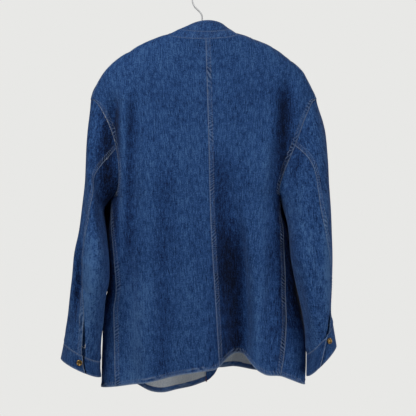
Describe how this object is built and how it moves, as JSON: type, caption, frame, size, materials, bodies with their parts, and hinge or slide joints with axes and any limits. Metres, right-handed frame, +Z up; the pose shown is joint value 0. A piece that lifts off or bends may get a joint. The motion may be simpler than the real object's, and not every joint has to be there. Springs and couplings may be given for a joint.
{
  "type": "denim coverall jacket on a hanger",
  "caption": "Hip-length denim work jacket with a centre back seam, two-piece set-in sleeves, buttoned cuffs and a turned-up collar, hanging on a plain hanger with a wire hook.",
  "frame": {"origin": "underside of the top of the hanger's hook, where it rests on a rail", "axes": "+Z up, +X towards the wearer's right, +Y towards the front of the jacket; its back faces -Y"},
  "size_m": [0.5953, 0.1801, 0.9041],
  "materials": {
    "denim": "worn indigo twill",
    "brass": "worn, satin",
    "plastic": "off-white, satin",
    "steel": "polished wire"
  },
  "bodies": {
    "root": {"back_left": "denim", "back_right": "denim", "front_left": "denim", "front_right": "denim", "facing_left": "denim", "facing_right": "denim", "sleeve_left_upper": "denim", "sleeve_left_under": "denim", "sleeve_right_upper": "denim", "sleeve_right_under": "denim", "cuff_left": "denim", "cuff_right": "denim", "collar_stand": "denim", "collar_leaf": "denim", "button_front_1": "brass", "button_front_2": "brass", "button_front_3": "brass", "button_front_4": "brass", "button_front_5": "brass", "button_cuff_left": "brass", "button_cuff_right": "brass", "hanger_arms": "plastic", "hanger_hook": "steel"}
  },
  "joints": []
}
